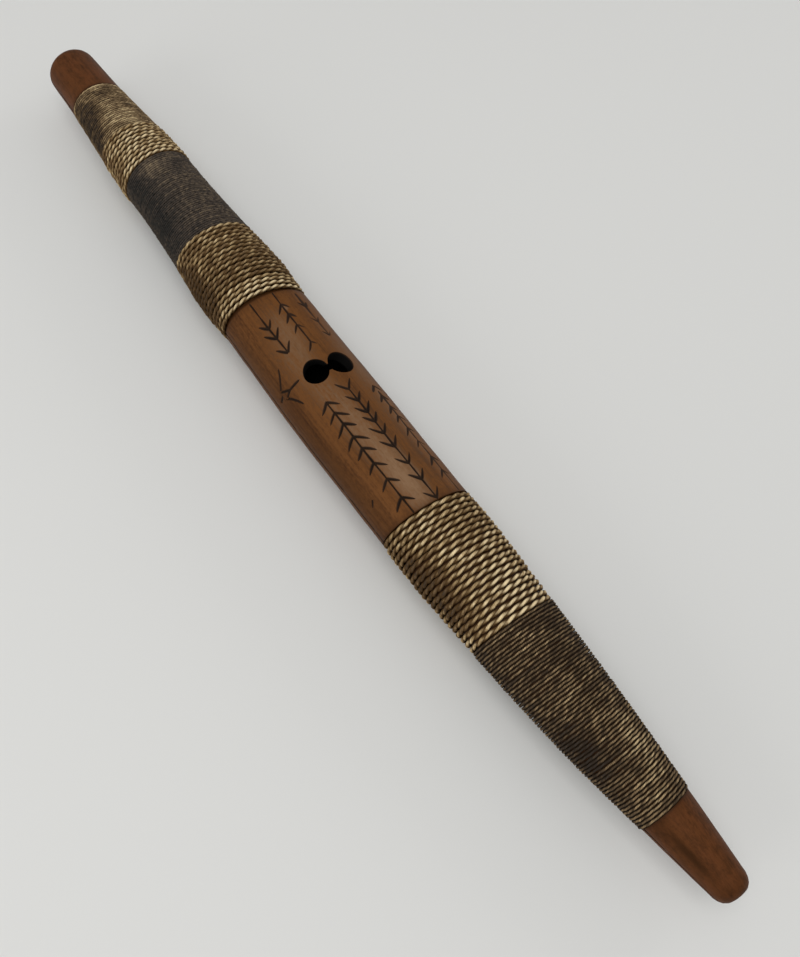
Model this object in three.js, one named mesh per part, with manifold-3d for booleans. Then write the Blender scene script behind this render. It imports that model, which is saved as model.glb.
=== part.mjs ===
// A putorino: a spindle-shaped wooden wind instrument of two hollowed halves, sealed and bound with cord.
// Millimetres. The instrument lies on its back: +X runs from the blowing end to the foot, +Z is the front.
import * as THREE from 'three';
import { mergeVertices } from 'three/addons/utils/BufferGeometryUtils.js';
import Module from 'manifold-3d';

const wasm = await Module();
wasm.setup();

// Lengths of the stretches, from the blowing end to the foot
const bareTipLength = 30.4;
const tipWhippingLength = 33.6;
const neckLashingLength = 23.7;
const upperWhippingLength = 51.7;
const upperLashingLength = 43.2;
const bareMiddleLength = 122.4;
const lowerLashingLength = 57;
const lowerWhippingLength = 87.6;
const bareFootLength = 38.4;

// Radii of the carved body, before the beds of the bindings are cut into it
const blowingEndRadius = 12.3;
const tipRadius = 13.5;
const neckRadius = 16.1;
const shoulderRadius = 17.4;
const waistRadius = 17.6;
const upperRadius = 19.5;
const middleStartRadius = 20.3;
const bellyRadius = 21.1;
const middleEndRadius = 20.9;
const lowerRadius = 19.1;
const calfRadius = 16;
const ankleRadius = 11.7;
const footMidRadius = 9.8;
const footEndRadius = 7.3;

// Where the waist, the belly, the calf and the two resting turns lie, each from the start of its stretch
const waistFromStart = 14;
const upperRestFromStart = 26;
const bellyFromStart = 60;
const lowerRestFromStart = 13;
const calfFromStart = 46;
const footMidFromStart = 17;

// Outer radius of the cord where the instrument touches the ground, and the flat pressed there
const restRadius = 21.9;
const restFlatDepth = 0.24;

// Hollow and ends
const wallThickness = 5.2;
const footBoreRadius = 2.5;
const blowingRimRound = 4;
const footRimRound = 5;

// Seam between the halves, filled with gum
const seamWidth = 0.6;
const gumRecess = 0.2;

// The front opening: two round lobes joined by a narrow neck
const openingFromBlowingEnd = 228.7;
const openingTurn = THREE.MathUtils.degToRad(3.4);
const lobeLength = 12;
const lobeWidth = 11.9;
const lobeSpacing = 12.1;
const lobeNeckWidth = 1.8;
const lobeNeckLength = 4;

// Cord diameters, and how far each binding stands proud of the carved body
const fineCord = 1.2;
const neckCord = 2.3;
const upperCord = 2.4;
const lowerCord = 2.55;
const lowerFineCord = 1.45;
const tipWhippingProud = 0.4;
const neckLashingProud = 1;
const upperWhippingProud = 0.2;
const upperLashingProud = 0.7;
const lowerLashingProud = 0.7;
const lowerWhippingProud = 0.8;

// Turns: the fine cords lie too close to model singly, so the lower whipping groups its 61 turns
const neckTurns = 10;
const upperTurns = 18;
const lowerTurns = 22;
const lowerWhippingTurns = 22;
const turnGap = 0.55;
const crestShare = 0.6;

// Clearances
const bedClearance = 0.3;
const bindingEndClearance = 0.2;
const openGroove = 1.4;
const shoulderRun = 0.15;

// How far the cutting solids run past what they cut
const slabOverrun = 2;
const openingOverrun = 3;

// How far the bindings lean along the body, at the start of each stretch
const tipSlant = 1.1;
const neckSlant = 0.8;
const shoulderSlant = 0.4;
const upperSlant = 1.3;
const middleSlant = 3.5;
const lowerSlant = 2.8;
const lowerWhippingSlant = 1.6;
const ankleSlant = -0.6;
const slantPhase = THREE.MathUtils.degToRad(21.4);

// Sideways bow of the carved body, which is not quite straight
const blowingEndSweep = 1.7;
const shoulderSweep = 1.65;
const upperSweep = 1.2;
const middleStartSweep = 0.65;
const bellySweep = -0.1;
const lowerSweep = 0;
const lowerWhippingSweep = 0.45;
const calfSweep = 1.3;
const ankleSweep = 2.75;
const footEndSweep = 4.1;

// Faceting
const woodSides = 32;
const turnSteps = 16;
const lobeSides = 20;
const rimSteps = 5;
const ringSpacing = 15;
const boreSpacing = 24;

const tipWhippingStart = bareTipLength;
const neckLashingStart = tipWhippingStart + tipWhippingLength;
const upperWhippingStart = neckLashingStart + neckLashingLength;
const upperLashingStart = upperWhippingStart + upperWhippingLength;
const middleStart = upperLashingStart + upperLashingLength;
const lowerLashingStart = middleStart + bareMiddleLength;
const lowerWhippingStart = lowerLashingStart + lowerLashingLength;
const footStart = lowerWhippingStart + lowerWhippingLength;
const totalLength = footStart + bareFootLength;

// A smooth curve through [station, value] points that never overshoots them (monotone cubic).
function smoothThrough(points) {
  const count = points.length;
  const slopes = [];
  for (let i = 0; i < count - 1; i++) {
    slopes.push((points[i + 1][1] - points[i][1]) / (points[i + 1][0] - points[i][0]));
  }
  const tangents = points.map((_, i) => {
    if (i === 0) return slopes[0];
    if (i === count - 1) return slopes[count - 2];
    const before = slopes[i - 1];
    const after = slopes[i];
    return before * after <= 0 ? 0 : (2 * before * after) / (before + after);
  });
  return (station) => {
    const s = THREE.MathUtils.clamp(station, points[0][0], points[count - 1][0]);
    let i = 0;
    while (i < count - 2 && s > points[i + 1][0]) i++;
    const span = points[i + 1][0] - points[i][0];
    const t = (s - points[i][0]) / span;
    const rise = points[i + 1][1] - points[i][1];
    const a = tangents[i] * span - rise;
    const b = rise - tangents[i + 1] * span;
    return points[i][1] + rise * t + t * (1 - t) * (a * (1 - t) + b * t);
  };
}

const bodyRadius = smoothThrough([
  [0, blowingEndRadius],
  [tipWhippingStart, tipRadius],
  [neckLashingStart, neckRadius],
  [upperWhippingStart, shoulderRadius],
  [upperWhippingStart + waistFromStart, waistRadius],
  [upperLashingStart, upperRadius],
  [upperLashingStart + upperRestFromStart, restRadius - upperLashingProud],
  [middleStart, middleStartRadius],
  [middleStart + bellyFromStart, bellyRadius],
  [lowerLashingStart, middleEndRadius],
  [lowerLashingStart + lowerRestFromStart, restRadius - lowerLashingProud],
  [lowerWhippingStart, lowerRadius],
  [lowerWhippingStart + calfFromStart, calfRadius],
  [footStart, ankleRadius],
  [footStart + footMidFromStart, footMidRadius],
  [totalLength, footEndRadius],
]);

const slantAt = smoothThrough([
  [0, 0],
  [tipWhippingStart, tipSlant],
  [neckLashingStart, neckSlant],
  [upperWhippingStart, shoulderSlant],
  [upperLashingStart, upperSlant],
  [middleStart, middleSlant],
  [lowerLashingStart, lowerSlant],
  [lowerWhippingStart, lowerWhippingSlant],
  [footStart, ankleSlant],
  [totalLength, 0],
]);

const sweepAt = smoothThrough([
  [0, blowingEndSweep],
  [upperWhippingStart, shoulderSweep],
  [upperLashingStart, upperSweep],
  [middleStart, middleStartSweep],
  [middleStart + bellyFromStart, bellySweep],
  [lowerLashingStart, lowerSweep],
  [lowerWhippingStart, lowerWhippingSweep],
  [lowerWhippingStart + calfFromStart, calfSweep],
  [footStart, ankleSweep],
  [totalLength, footEndSweep],
]);

const boreRadius = (station) => Math.max(bodyRadius(station) - wallThickness, footBoreRadius);

// The point at a station along the body, a radius, and an angle from the front (+Z) towards +Y.
function place(station, radius, angle) {
  return new THREE.Vector3(
    station - totalLength / 2 + slantAt(station) * Math.sin(angle + slantPhase),
    sweepAt(station) + radius * Math.sin(angle),
    radius * Math.cos(angle),
  );
}

const bindings = [
  { name: 'tip_whipping', start: tipWhippingStart, length: tipWhippingLength, cord: fineCord,
    proud: tipWhippingProud, groove: 0 },
  { name: 'neck_lashing', start: neckLashingStart, length: neckLashingLength, cord: neckCord,
    proud: neckLashingProud, groove: 0, turns: neckTurns, crest: crestShare },
  { name: 'upper_whipping', start: upperWhippingStart, length: upperWhippingLength, cord: fineCord,
    proud: upperWhippingProud, groove: 0 },
  { name: 'upper_lashing', start: upperLashingStart, length: upperLashingLength, cord: upperCord,
    proud: upperLashingProud, groove: openGroove, turns: upperTurns, crest: crestShare, rests: true },
  { name: 'lower_lashing', start: lowerLashingStart, length: lowerLashingLength, cord: lowerCord,
    proud: lowerLashingProud, groove: 0, turns: lowerTurns, crest: crestShare, rests: true },
  { name: 'lower_whipping', start: lowerWhippingStart, length: lowerWhippingLength, cord: lowerFineCord,
    proud: lowerWhippingProud, groove: 0, turns: lowerWhippingTurns, crest: 0 },
];

const bedRadius = (binding, station) => bodyRadius(station) + binding.proud - binding.cord;
const crownRadius = (binding, station) => bodyRadius(station) + binding.proud;

// Stations from one end of a stretch to the other, no further apart than the spacing.
function stationsAlong(from, to, spacing) {
  const count = Math.max(1, Math.ceil((to - from) / spacing));
  return Array.from({ length: count + 1 }, (_, i) => from + ((to - from) * i) / count);
}

// Outside of the wood as [station, radius]: the bare stretches, and the beds sunk for the bindings.
function woodOutside() {
  const outline = [];
  let reached = blowingRimRound;
  for (const binding of bindings) {
    const end = binding.start + binding.length + binding.groove;
    if (binding.start - shoulderRun > reached) {
      for (const s of stationsAlong(reached, binding.start - shoulderRun, ringSpacing)) {
        outline.push([s, bodyRadius(s)]);
      }
    }
    for (const s of stationsAlong(binding.start + shoulderRun, end - shoulderRun, ringSpacing)) {
      outline.push([s, bedRadius(binding, s)]);
    }
    reached = end + shoulderRun;
  }
  for (const s of stationsAlong(reached, totalLength - footRimRound, ringSpacing)) {
    outline.push([s, bodyRadius(s)]);
  }
  return outline;
}

// A half-round rim across the wall: from the bore to the outside at the blowing end, and back at the foot.
function rim(station, depth, direction) {
  const outer = bodyRadius(station);
  const inner = boreRadius(station);
  return Array.from({ length: rimSteps }, (_, i) => {
    const turn = (Math.PI * (i + 1)) / (rimSteps + 1);
    const radius = (outer + inner) / 2 - (direction * (outer - inner) * Math.cos(turn)) / 2;
    return [station - direction * depth * Math.sin(turn), radius];
  });
}

function toManifold(geometry) {
  const bare = geometry.clone();
  bare.deleteAttribute('normal');
  bare.deleteAttribute('uv');
  const merged = mergeVertices(bare, 1e-4);
  return new wasm.Manifold(new wasm.Mesh({
    numProp: 3,
    vertProperties: new Float32Array(merged.attributes.position.array),
    triVerts: new Uint32Array(merged.index.array),
  }));
}

function toGeometry(solid) {
  const mesh = solid.getMesh();
  const geometry = new THREE.BufferGeometry();
  geometry.setAttribute('position', new THREE.BufferAttribute(new Float32Array(mesh.vertProperties), 3));
  geometry.setIndex(new THREE.BufferAttribute(new Uint32Array(mesh.triVerts), 1));
  geometry.computeVertexNormals();
  return geometry;
}

// A closed profile of [station, radius] points revolved about the body's own slanted, swept centre line.
function revolved(profile) {
  const closed = [...profile, profile[0]].map(([s, r]) => new THREE.Vector2(r, s)).reverse();
  const geometry = new THREE.LatheGeometry(closed, woodSides);
  const position = geometry.attributes.position;
  const vertex = new THREE.Vector3();
  for (let i = 0; i < position.count; i++) {
    vertex.fromBufferAttribute(position, i);
    const radius = Math.hypot(vertex.x, vertex.z);
    const placed = place(vertex.y, radius, Math.atan2(vertex.x, vertex.z));
    position.setXYZ(i, placed.x, placed.y, placed.z);
  }
  return geometry;
}

function slab(lowZ, highZ) {
  const reach = totalLength * slabOverrun;
  const geometry = new THREE.BoxGeometry(reach, reach, highZ - lowZ);
  geometry.translate(0, 0, (lowZ + highZ) / 2);
  return toManifold(geometry);
}

// The front opening, cut square to the wall at each lobe
function frontOpening() {
  const tall = wallThickness * openingOverrun;
  const depth = bodyRadius(openingFromBlowingEnd) - wallThickness / 2;
  const halfAngle = lobeSpacing / 2 / bodyRadius(openingFromBlowingEnd);
  const neck = new THREE.BoxGeometry(lobeNeckWidth, lobeNeckLength, tall);
  neck.rotateX(-openingTurn);
  const middle = place(openingFromBlowingEnd, depth, openingTurn);
  neck.translate(middle.x, middle.y, middle.z);
  let opening = toManifold(neck);
  for (const angle of [openingTurn - halfAngle, openingTurn + halfAngle]) {
    const lobe = new THREE.CylinderGeometry(lobeWidth / 2, lobeWidth / 2, tall, lobeSides);
    lobe.scale(lobeLength / lobeWidth, 1, 1);
    lobe.rotateX(Math.PI / 2 - angle);
    const centre = place(openingFromBlowingEnd, depth, angle);
    lobe.translate(centre.x, centre.y, centre.z);
    opening = opening.add(toManifold(lobe));
  }
  return opening;
}

function woodHalves() {
  const inside = stationsAlong(blowingRimRound, totalLength - footRimRound, boreSpacing)
    .map((s) => [s, boreRadius(s)])
    .reverse();
  const outline = [
    ...rim(blowingRimRound, blowingRimRound, 1),
    ...woodOutside(),
    ...rim(totalLength - footRimRound, footRimRound, -1),
    ...inside,
  ];
  const whole = toManifold(revolved(outline));
  const half = seamWidth / 2;
  const reach = restRadius * slabOverrun;
  return {
    front: toGeometry(whole.intersect(slab(half, reach)).subtract(frontOpening())),
    back: toGeometry(whole.intersect(slab(-reach, -half))),
  };
}

// Gum along one side of the seam: the flat outline of the wall there, a little inside both its edges
function gumStrip(side) {
  const angle = (side * Math.PI) / 2;
  const outer = woodOutside().map(([s, r]) => place(s, r - gumRecess, angle));
  const inner = stationsAlong(blowingRimRound, totalLength - footRimRound, boreSpacing)
    .map((s) => place(s, boreRadius(s) + gumRecess, angle))
    .reverse();
  const outline = new THREE.Shape([...outer, ...inner].map((p) => new THREE.Vector2(p.x, p.y)));
  const geometry = new THREE.ExtrudeGeometry(outline, { depth: seamWidth, bevelEnabled: false });
  geometry.translate(0, 0, -seamWidth / 2);
  return geometry;
}

// The corners of a cord's section at a station and angle: flat on its bed, with a flat or a sharp crest.
function turnSection(binding, width, station, angle) {
  const round = Math.cos(Math.PI / turnSteps);
  const corner = (offset, radius) => place(station + offset, radius(station + offset) / round, angle);
  const onBed = (s) => bedRadius(binding, s) + bedClearance;
  const onCrown = (s) => crownRadius(binding, s);
  const crest = (width * binding.crest) / 2;
  const crown = crest > 0 ? [corner(crest, onCrown), corner(-crest, onCrown)] : [corner(0, onCrown)];
  return [corner(-width / 2, onBed), corner(width / 2, onBed), ...crown];
}

// One unbroken tube round the body, from one end of its bed to the other.
function winding(binding) {
  const pitch = (binding.length - 2 * bindingEndClearance + turnGap) / (binding.turns + 1);
  const width = pitch - turnGap;
  const first = binding.start + bindingEndClearance + width / 2;
  const steps = binding.turns * turnSteps;
  const sections = Array.from({ length: steps + 1 }, (_, i) => {
    const angle = Math.PI + (2 * Math.PI * (i + 0.5)) / turnSteps;
    return turnSection(binding, width, first + (pitch * i) / turnSteps, angle);
  });
  console.log(`${binding.name}: ${binding.turns} turns, least gap ${leastGap(sections).toFixed(2)} mm`);
  return tube(sections);
}

// Least distance between points of turns that lie beside each other.
function leastGap(sections) {
  let least = Infinity;
  for (let i = 0; i + turnSteps / 2 < sections.length; i++) {
    const last = Math.min(sections.length - 1, i + turnSteps + turnSteps / 2);
    for (let j = i + turnSteps / 2; j <= last; j++) {
      for (const a of sections[i]) {
        for (const b of sections[j]) least = Math.min(least, a.distanceTo(b));
      }
    }
  }
  return least;
}

function tube(sections) {
  const sides = sections[0].length;
  const positions = sections.flat().flatMap((p) => [p.x, p.y, p.z]);
  const index = [];
  for (let i = 0; i < sections.length - 1; i++) {
    for (let k = 0; k < sides; k++) {
      const a = i * sides + k;
      const b = i * sides + ((k + 1) % sides);
      index.push(a, a + sides, b, b, a + sides, b + sides);
    }
  }
  const lastSection = (sections.length - 1) * sides;
  for (let k = 1; k < sides - 1; k++) {
    index.push(0, k, k + 1);
    index.push(lastSection, lastSection + k + 1, lastSection + k);
  }
  const geometry = new THREE.BufferGeometry();
  geometry.setAttribute('position', new THREE.Float32BufferAttribute(positions, 3));
  geometry.setIndex(index);
  geometry.computeVertexNormals();
  return geometry;
}

// A fine whipping as one sleeve: its turns are too close and too shallow to show singly.
function sleeve(binding) {
  const from = binding.start + bindingEndClearance;
  const to = binding.start + binding.length - bindingEndClearance;
  const stations = stationsAlong(from, to, ringSpacing);
  const crown = stations.map((s) => [s, crownRadius(binding, s)]);
  const bed = stations.map((s) => [s, bedRadius(binding, s) + bedClearance]).reverse();
  return revolved([...crown, ...bed]);
}

// The turns that the instrument lies on are pressed flat there.
function pressedFlat(geometry) {
  const ground = -(restRadius - restFlatDepth);
  return toGeometry(toManifold(geometry).subtract(slab(ground - restRadius, ground)));
}

const finishes = {
  wood: { color: 0x8a5a33, roughness: 0.5, metalness: 0 },
  gum: { color: 0x2b1a10, roughness: 0.6, metalness: 0 },
  darkCord: { color: 0x4d4038, roughness: 0.85, metalness: 0 },
  wornCord: { color: 0x7a633d, roughness: 0.8, metalness: 0 },
  strawCord: { color: 0xb59a5e, roughness: 0.75, metalness: 0 },
};

const instrument = new THREE.Group();

function addPiece(name, geometry, finish) {
  const mesh = new THREE.Mesh(geometry, new THREE.MeshStandardMaterial(finishes[finish]));
  mesh.name = name;
  instrument.add(mesh);
}

const halves = woodHalves();
addPiece('front_half', halves.front, 'wood');
addPiece('back_half', halves.back, 'wood');
addPiece('seam_gum_left', gumStrip(-1), 'gum');
addPiece('seam_gum_right', gumStrip(1), 'gum');

const bindingFinish = {
  tip_whipping: 'wornCord',
  neck_lashing: 'strawCord',
  upper_whipping: 'darkCord',
  upper_lashing: 'strawCord',
  lower_lashing: 'strawCord',
  lower_whipping: 'wornCord',
};
for (const binding of bindings) {
  const wound = binding.turns ? winding(binding) : sleeve(binding);
  addPiece(binding.name, binding.rests ? pressedFlat(wound) : wound, bindingFinish[binding.name]);
}

// The origin is at the bottom centre of the box round the whole instrument
const box = new THREE.Box3().setFromObject(instrument);
const centre = box.getCenter(new THREE.Vector3());
instrument.position.set(-centre.x, -centre.y, -box.min.z);

export default instrument;
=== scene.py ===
"""A putorino lying on its back: wooden halves, seam gum and cord bindings, built round the CAD frame."""
import math

import bpy
import numpy as np
from mathutils import Matrix, Vector


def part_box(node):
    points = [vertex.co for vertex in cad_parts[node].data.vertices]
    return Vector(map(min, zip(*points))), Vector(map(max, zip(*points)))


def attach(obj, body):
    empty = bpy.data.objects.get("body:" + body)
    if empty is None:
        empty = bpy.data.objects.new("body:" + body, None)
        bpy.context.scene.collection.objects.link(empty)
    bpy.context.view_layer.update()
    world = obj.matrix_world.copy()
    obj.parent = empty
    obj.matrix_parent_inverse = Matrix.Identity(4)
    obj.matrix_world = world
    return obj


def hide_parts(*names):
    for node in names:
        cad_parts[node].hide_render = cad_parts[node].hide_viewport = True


bl_info = {
    "name": "Putorino Builder",
    "version": (1, 0, 0),
    "blender": (4, 5, 0),
    "location": "View3D > Sidebar > Putorino",
    "description": "Builds a cord-bound wooden putorino round its CAD frame",
    "category": "Add Mesh",
}

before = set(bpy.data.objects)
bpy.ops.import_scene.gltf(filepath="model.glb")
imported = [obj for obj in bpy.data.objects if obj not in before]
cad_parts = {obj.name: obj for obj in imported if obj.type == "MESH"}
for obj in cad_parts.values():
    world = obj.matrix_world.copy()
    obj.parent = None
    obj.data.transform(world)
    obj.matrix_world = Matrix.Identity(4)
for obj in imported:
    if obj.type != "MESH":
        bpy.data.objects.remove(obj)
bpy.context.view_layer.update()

MM = 0.001
TURN = 2 * math.pi

# Stretches from the blowing end to the foot, in millimetres, as the CAD part has them
STRETCHES = (
    ("bare_tip", 30.4),
    ("tip_whipping", 33.6),
    ("neck_lashing", 23.7),
    ("upper_whipping", 51.7),
    ("upper_lashing", 43.2),
    ("bare_middle", 122.4),
    ("lower_lashing", 57.0),
    ("lower_whipping", 87.6),
    ("bare_foot", 38.4),
)
LENGTH = dict(STRETCHES)
START = {name: sum(length for _, length in STRETCHES[:i]) for i, (name, _) in enumerate(STRETCHES)}
TOTAL = sum(length for _, length in STRETCHES)
HALF = TOTAL / 2

# Sizes in millimetres, most of them the CAD part's own
WALL = 5.2
FOOT_BORE = 2.5
TIP_ROUND = 4.0
FOOT_ROUND = 6.5
SEAM = 0.6
GUM_RECESS = 0.2
BELLY = 21.1
REST = 21.9
SLANT_PHASE = math.radians(21.4)

# Share of the foot's wall that lies inside its crest
FOOT_CREST = 0.2

# How far the wood drops off at the seam's edge, and over what distance
SEAM_WEAR = 0.15
SEAM_WEAR_REACH = 0.4

# Steps between stations: on the bare middle's front and back, on the bare ends, under the bindings and in the
# bore
FRONT_STEP = 0.8
BACK_STEP = 1.5
END_STEP = 1.2
HIDDEN_STEP = 5.0
BORE_STEP = 8.0
RIM_STEPS = 10

# A bed's edge ramps down over this much on either side of it, and has stations this close, this far out
BED_RAMP = 0.2
EDGE_STEP = 0.12
EDGE_REACH = 0.24

# Share of a round over which a turn steps to the next, on either side of the back, and an end sinks in
STEP_OVER = 0.12
END_RUN = 0.12

# Of a two-ply cord's radius: how far each ply lies from the cord's centre, and the ply's own radius
PLY_OFFSET = 0.34
PLY_RADIUS = 0.62

# Each kind of cord: its plies, its mesh's steps in a turn and sides, and the share of its pitch that it fills
TWO_PLY = {"plies": 2, "steps": 150, "sides": 10, "full": 0.98}
FINE = {"plies": 1, "steps": 130, "sides": 8, "full": 1.0}

# Each binding's cord diameter, how far it stands proud of the wood, its turns and any open groove after it
BINDINGS = {
    "tip_whipping": {"cord": 1.2, "proud": 0.4, "turns": 28, "groove": 0.0},
    "neck_lashing": {"cord": 2.3, "proud": 1.0, "turns": 10, "groove": 0.0},
    "upper_whipping": {"cord": 1.2, "proud": 0.2, "turns": 45, "groove": 0.0},
    "upper_lashing": {"cord": 2.4, "proud": 0.7, "turns": 18, "groove": 1.4},
    "lower_lashing": {"cord": 2.55, "proud": 0.7, "turns": 22, "groove": 0.0},
    "lower_whipping": {"cord": 1.45, "proud": 0.8, "turns": 61, "groove": 0.0},
}

# Spots on the wood and the cord are each a station (mm), degrees from the front as the camera sees it, reach
# along (mm) and across (degrees), and strength. On the wood:
# Pale spots: wear, and a painted highlight on the front and painted sheen towards +Y, where light falls
WEAR_AND_SHEEN_SPOTS = (
    (292, 12, 18, 16, 0.9), (222, -2, 30, 26, 0.32), (205, 14, 14, 12, 0.25), (262, 8, 22, 18, 0.5),
    (194, 27, 1.5, 4, 0.6), (250, 60, 70, 20, 0.35),
)
RED_SPOTS = ((250, 75, 90, 25, 0.3),)
# Dark spots: painted shade on the side at negative angles, away from the light, with some dirt
SHADE_AND_GRIME_SPOTS = (
    (262, -45, 60, 14, 0.5), (205, -62, 30, 16, 0.35), (275, -66, 50, 14, 0.6), (466, -23, 9, 9, 0.9),
    (458, -34, 26, 22, 0.4), (485, -10, 3, 70, 0.4), (18, -28, 14, 20, 0.2),
)

# Wear of each binding: its level all over, how far its creases darken with painted shade, and spots that
# are paler or darker: wear and stains, and also painted highlight towards the front and painted shade away
# from the light
WEAR = {
    "tip_whipping": (0.64, 0.5, (
        (50, -48, 30, 30, -0.5), (44, -18, 6, 16, -0.25), (56, 12, 10, 28, 0.22), (30.5, 10, 1.2, 60, 0.3),
        (36, 20, 4, 25, -0.05), (46, 50, 18, 16, -0.2))),
    "neck_lashing": (0.62, 0.85, (
        (77, -55, 40, 22, -0.18), (77, 5, 30, 40, 0.18), (87, 5, 1.6, 60, 0.3))),
    "upper_whipping": (0.44, 0.35, (
        (112, -40, 34, 32, -0.42), (93, 0, 3.5, 22, 0.4), (101, 8, 6, 20, 0.08))),
    "upper_lashing": (0.41, 0.85, (
        (153, -5, 13, 40, 0.1), (165, -60, 20, 25, -0.5), (182, 10, 7, 70, 0.72), (140, 5, 1.6, 50, 0.3))),
    "lower_lashing": (0.56, 0.92, (
        (332, -50, 22, 28, -0.56), (352, 34, 22, 35, 0.52), (309, -5, 8, 50, 0.18), (330, 0, 40, 20, 0.12),
        (322, 48, 12, 20, -0.1), (361, -10, 4, 80, 0.2))),
    "lower_whipping": (0.42, 0.9, (
        (425, 40, 14, 25, 0.45), (442, 0, 8, 60, 0.3), (398, 5, 12, 26, 0.15), (372, -20, 9, 25, 0.1),
        (416, -38, 12, 24, -0.55), (385, -65, 40, 20, -0.1))),
}

# The camera's place (mm) and its three directions, fitted to the photograph
CAMERA_AT = (145.7, -132.2, 364.3)
CAMERA_RIGHT = (0.59964, 0.79062, 0.12389)
CAMERA_DOWN = (0.75066, -0.50202, -0.42953)
CAMERA_FORWARD = (-0.27740, 0.35056, -0.89452)

# Lamps: place and size in metres, and power against the key lamp's
LAMPS = (
    ("key", (0.1, -0.35, 1.3), 0.9, 1.0),
    ("left strip", (0.0, -1.2, 0.45), 0.6, 0.5),
    ("right strip", (0.1, 1.3, 0.5), 0.6, 0.4),
)

# The floor's half-width, and its level, a hair below the pressed flats that lie on it (metres)
FLOOR_REACH = 4.0
FLOOR_LEVEL = -0.00005


def smooth_through(points):
    """A curve through (station, value) points: start plus rise·t plus t(1−t)(a(1−t) + b·t), where a and b are
    what the harmonic-mean slopes at the two ends add to the straight line."""
    x, y = np.array(points, float).T
    slope = np.diff(y) / np.diff(x)
    product = slope[:-1] * slope[1:]
    total = np.where(product > 0, slope[:-1] + slope[1:], 1)
    inner = np.where(product > 0, 2 * product / total, 0)
    tangent = np.concatenate([slope[:1], inner, slope[-1:]])

    def value(at):
        at = np.clip(at, x[0], x[-1])
        i = np.clip(np.searchsorted(x, at, side="right") - 1, 0, len(x) - 2)
        span = x[i + 1] - x[i]
        t = (at - x[i]) / span
        rise = y[i + 1] - y[i]
        a = tangent[i] * span - rise
        b = rise - tangent[i + 1] * span
        return y[i] + rise * t + t * (1 - t) * (a * (1 - t) + b * t)

    return value


body_radius = smooth_through([
    (0, 12.3),
    (START["tip_whipping"], 13.5),
    (START["neck_lashing"], 16.1),
    (START["upper_whipping"], 17.4),
    (START["upper_whipping"] + 14, 17.6),
    (START["upper_lashing"], 19.5),
    (START["upper_lashing"] + 26, REST - BINDINGS["upper_lashing"]["proud"]),
    (START["bare_middle"], 20.3),
    (START["bare_middle"] + 60, BELLY),
    (START["lower_lashing"], 20.9),
    (START["lower_lashing"] + 13, REST - BINDINGS["lower_lashing"]["proud"]),
    (START["lower_whipping"], 19.1),
    (START["lower_whipping"] + 46, 16),
    (START["bare_foot"], 11.7),
    (START["bare_foot"] + 17, 9.8),
    (TOTAL, 7.3),
])

# How far the turns lean along the body. The CAD part's turns also climb by a pitch in each round; these lie
# side by side and step over at the back, so they lean by a little more or less
slant_at = smooth_through([
    (0, 0),
    (START["tip_whipping"], 1.6),
    (START["neck_lashing"], 1.8),
    (START["upper_whipping"], 0.7),
    (START["upper_lashing"], 2.3),
    (START["bare_middle"], 3.2),
    (START["lower_lashing"], 2.1),
    (START["lower_whipping"], 1.2),
    (START["bare_foot"], -0.6),
    (TOTAL, 0),
])

# Sideways bow of the axis, towards +Y
sweep_at = smooth_through([
    (0, 1.7),
    (START["upper_whipping"], 1.65),
    (START["upper_lashing"], 1.2),
    (START["bare_middle"], 0.65),
    (START["bare_middle"] + 60, -0.1),
    (START["lower_lashing"], 0),
    (START["lower_whipping"], 0.45),
    (START["lower_whipping"] + 46, 1.3),
    (START["bare_foot"], 2.75),
    (TOTAL, 4.1),
])


def bore_radius(station):
    """Inside of the tube: the body less its wall, and never under the foot's bore."""
    return np.maximum(body_radius(station) - WALL, FOOT_BORE)


def axis_origin():
    """Where the CAD part's own axis lies in the frame: at the middle of the gum strips' height, and as far
    from the left strip's outer edge as the bare middle's widest place, clear of the beds, says."""
    low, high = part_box("seam_gum_left")
    clear = 5
    middle = np.linspace(START["bare_middle"] + clear, START["lower_lashing"] - clear, 200)
    gum_edge = (body_radius(middle) - GUM_RECESS - sweep_at(middle)).max()
    return np.array([0.0, low.y + gum_edge * MM, (low.z + high.z) / 2])


AXIS = axis_origin()


def place(station, radius, angle):
    """Points in metres from a station along the body, a radius (both mm) and an angle from the front to +Y.

    x is the station from mid-length plus the slant times the sine of the angle, y the sweep plus radius times
    the sine, and z radius times the cosine, all moved to the frame's axis.
    """
    x = station - HALF + slant_at(station) * np.sin(angle + SLANT_PHASE)
    y = sweep_at(station) + radius * np.sin(angle)
    z = radius * np.cos(angle)
    return np.stack(np.broadcast_arrays(x, y, z), -1) * MM + AXIS


def unplace(points):
    """The inverse of place: stations, radii and angles of points, the slant taken off in a few rounds."""
    x, y, z = ((points - AXIS) / MM).T
    station = x + HALF
    for _ in range(4):
        angle = np.arctan2(y - sweep_at(station), z)
        station = x + HALF - slant_at(station) * np.sin(angle + SLANT_PHASE)
    return station, np.hypot(y - sweep_at(station), z), angle


def on_body(x, across, lift):
    """Points on the body at a true x from the blowing end (mm), an angle as the camera sees it, and a height
    above the wood: the slant at that angle is taken off x to give the station."""
    station = x - slant_at(x) * np.sin(across)
    return place(station, body_radius(station) + lift, across - SLANT_PHASE)


def wander(at, period, seed):
    """A smooth wandering value in about −1 to 1: the sum of four sines of unrelated lengths near the period,
    with seeded phases, over 2.4."""
    rng = np.random.default_rng(seed)
    lengths = period * np.array([0.61, 1.0, 1.73, 2.9])
    phases = rng.uniform(0, TURN, 4)
    return sum(np.sin(TURN * at / length + phase) for length, phase in zip(lengths, phases)) / 2.4


def ease(value, low, high):
    """Smoothstep: 3t² − 2t³ of the share of the way from low to high."""
    t = np.clip((value - low) / (high - low), 0, 1)
    return t * t * (3 - 2 * t)


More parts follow.
